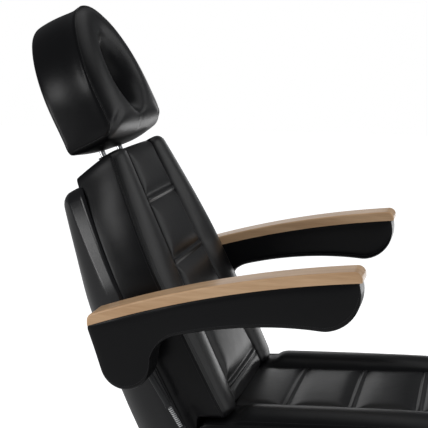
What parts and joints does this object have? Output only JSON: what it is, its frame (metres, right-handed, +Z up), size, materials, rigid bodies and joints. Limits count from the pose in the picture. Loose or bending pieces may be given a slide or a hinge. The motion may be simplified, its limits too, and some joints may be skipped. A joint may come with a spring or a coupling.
{
  "type": "electric beauty couch",
  "caption": "Electric beauty couch with a lifting column, reclining backrest with face-hole headrest, lowering leg section and level-keeping armrests.",
  "frame": {"origin": "on the floor, below the middle of the couch", "axes": "+X towards the feet, +Y to the sitter's left, +Z up"},
  "size_m": [1.5442, 0.815, 1.5026],
  "materials": {
    "upholstery": "semi-gloss leatherette",
    "wood": "clear varnish",
    "ply": "raw plywood",
    "shell": "fine grain",
    "cover": "fine grain",
    "frame_steel": "satin powder coat",
    "column_metal": "satin anodised",
    "bright_steel": "polished",
    "pin_steel": "turned",
    "black_plastic": "fine grain",
    "grey_plastic": "fine grain",
    "glide_plastic": "plain",
    "foot_rubber": "plain"
  },
  "bodies": {
    "base": {"base_frame": "frame_steel", "levelling_feet": "foot_rubber", "base_cover": "cover", "mains_inlet": "black_plastic", "column_outer": "column_metal", "lower_glide_ring": "glide_plastic", "lift_actuator": "black_plastic"},
    "column_stage": {"column_middle": "column_metal", "upper_glide_ring": "glide_plastic"},
    "seat_unit": {"column_inner": "column_metal", "column_head": "frame_steel", "lift_rod": "bright_steel", "seat_frame": "frame_steel", "pivot_pins": "pin_steel", "seat_cushion": "upholstery", "seat_board": "ply", "recline_actuator": "black_plastic", "leg_actuator": "black_plastic", "control_box": "black_plastic", "handset_holder": "black_plastic", "handset_case": "black_plastic"},
    "recline_piston": {"recline_rod": "bright_steel"},
    "leg_piston": {"leg_rod": "bright_steel"},
    "backrest": {"back_frame": "frame_steel", "back_board": "ply", "back_cushion": "upholstery", "back_shell": "shell", "arm_spindles": "pin_steel", "headrest_guides": "frame_steel"},
    "headrest": {"headrest_cushion": "upholstery", "headrest_board": "ply", "headrest_posts": "bright_steel"},
    "leg_section": {"leg_frame": "frame_steel", "leg_cushion": "upholstery", "leg_board": "ply"},
    "footrest": {"foot_slide": "frame_steel", "foot_cushion": "upholstery"},
    "carrier_left": {"arm_carrier_left": "frame_steel"},
    "armrest_left": {"arm_pad_left": "upholstery", "arm_cap_left": "wood", "arm_core_left": "frame_steel", "cap_screws_left": "pin_steel"},
    "link_left": {"link_stud_left": "bright_steel", "link_ends_left": "frame_steel"},
    "carrier_right": {"arm_carrier_right": "frame_steel"},
    "armrest_right": {"arm_pad_right": "upholstery", "arm_cap_right": "wood", "arm_core_right": "frame_steel", "cap_screws_right": "pin_steel"},
    "link_right": {"link_stud_right": "bright_steel", "link_ends_right": "frame_steel"},
    "key_lift_up": {"button_lift_up": "grey_plastic"},
    "key_lift_down": {"button_lift_down": "grey_plastic"},
    "key_back_up": {"button_back_up": "grey_plastic"},
    "key_back_down": {"button_back_down": "grey_plastic"},
    "key_legs_up": {"button_legs_up": "grey_plastic"},
    "key_legs_down": {"button_legs_down": "grey_plastic"}
  },
  "joints": [
    {"name": "lift", "type": "slide", "parent": "base", "child": "seat_unit", "axis": [0, 0, 1], "range_m": [0, 0.26]},
    {"name": "column_stage_slide", "type": "slide", "parent": "base", "child": "column_stage", "axis": [0, 0, 1], "range_m": [0, 0.13]},
    {"name": "back_recline", "type": "hinge", "parent": "seat_unit", "child": "backrest", "pos_m": [-0.3093, 0, 0.486], "axis": [0, 1, 0], "range_deg": [-66.67, 0]},
    {"name": "recline_piston_slide", "type": "slide", "parent": "seat_unit", "child": "recline_piston", "axis": [0.9991, 0, 0.0426], "range_m": [0, 0.1153]},
    {"name": "headrest_slide", "type": "slide", "parent": "backrest", "child": "headrest", "axis": [-0.4348, 0, 0.9005], "range_m": [0, 0.12]},
    {"name": "armrest_level_left", "type": "hinge", "parent": "backrest", "child": "carrier_left", "pos_m": [-0.46009, 0.32, 0.72934], "axis": [0, 1, 0], "range_deg": [0, 66.67]},
    {"name": "armrest_flip_left", "type": "hinge", "parent": "carrier_left", "child": "armrest_left", "pos_m": [-0.46009, 0.37, 0.72934], "axis": [0, -1, 0], "range_deg": [0, 100]},
    {"name": "link_swing_left", "type": "hinge", "parent": "seat_unit", "child": "link_left", "pos_m": [-0.3093, 0.309, 0.526], "axis": [0, 1, 0], "range_deg": [-66.67, 0]},
    {"name": "armrest_level_right", "type": "hinge", "parent": "backrest", "child": "carrier_right", "pos_m": [-0.46009, -0.32, 0.72934], "axis": [0, 1, 0], "range_deg": [0, 66.67]},
    {"name": "armrest_flip_right", "type": "hinge", "parent": "carrier_right", "child": "armrest_right", "pos_m": [-0.46009, -0.37, 0.72934], "axis": [0, -1, 0], "range_deg": [0, 100]},
    {"name": "link_swing_right", "type": "hinge", "parent": "seat_unit", "child": "link_right", "pos_m": [-0.3093, -0.309, 0.526], "axis": [0, 1, 0], "range_deg": [-66.67, 0]},
    {"name": "legs_lower", "type": "hinge", "parent": "seat_unit", "child": "leg_section", "pos_m": [0.30793, 0, 0.51731], "axis": [0, 1, 0], "range_deg": [0, 75]},
    {"name": "leg_piston_slide", "type": "slide", "parent": "seat_unit", "child": "leg_piston", "axis": [0.9991, 0, 0.0426], "range_m": [-0.10373, 0]},
    {"name": "footrest_slide", "type": "slide", "parent": "leg_section", "child": "footrest", "axis": [0.9991, 0, 0.0426], "range_m": [0, 0.08]},
    {"name": "key_lift_up_press", "type": "slide", "parent": "seat_unit", "child": "key_lift_up", "axis": [0, -1, 0], "range_m": [0, 0.0012], "stiffness_N_per_m": 800},
    {"name": "key_lift_down_press", "type": "slide", "parent": "seat_unit", "child": "key_lift_down", "axis": [0, -1, 0], "range_m": [0, 0.0012], "stiffness_N_per_m": 800},
    {"name": "key_back_up_press", "type": "slide", "parent": "seat_unit", "child": "key_back_up", "axis": [0, -1, 0], "range_m": [0, 0.0012], "stiffness_N_per_m": 800},
    {"name": "key_back_down_press", "type": "slide", "parent": "seat_unit", "child": "key_back_down", "axis": [0, -1, 0], "range_m": [0, 0.0012], "stiffness_N_per_m": 800},
    {"name": "key_legs_up_press", "type": "slide", "parent": "seat_unit", "child": "key_legs_up", "axis": [0, -1, 0], "range_m": [0, 0.0012], "stiffness_N_per_m": 800},
    {"name": "key_legs_down_press", "type": "slide", "parent": "seat_unit", "child": "key_legs_down", "axis": [0, -1, 0], "range_m": [0, 0.0012], "stiffness_N_per_m": 800}
  ],
  "couplings": [
    {"joint": "column_stage_slide", "follows": "lift", "ratio": 0.5},
    {"joint": "recline_piston_slide", "follows": "back_recline", "m_per_rad": -0.099},
    {"joint": "leg_piston_slide", "follows": "legs_lower", "m_per_rad": -0.07917},
    {"joint": "armrest_level_left", "follows": "back_recline", "ratio": -1},
    {"joint": "link_swing_left", "follows": "back_recline", "ratio": 1},
    {"joint": "armrest_level_right", "follows": "back_recline", "ratio": -1},
    {"joint": "link_swing_right", "follows": "back_recline", "ratio": 1}
  ]
}
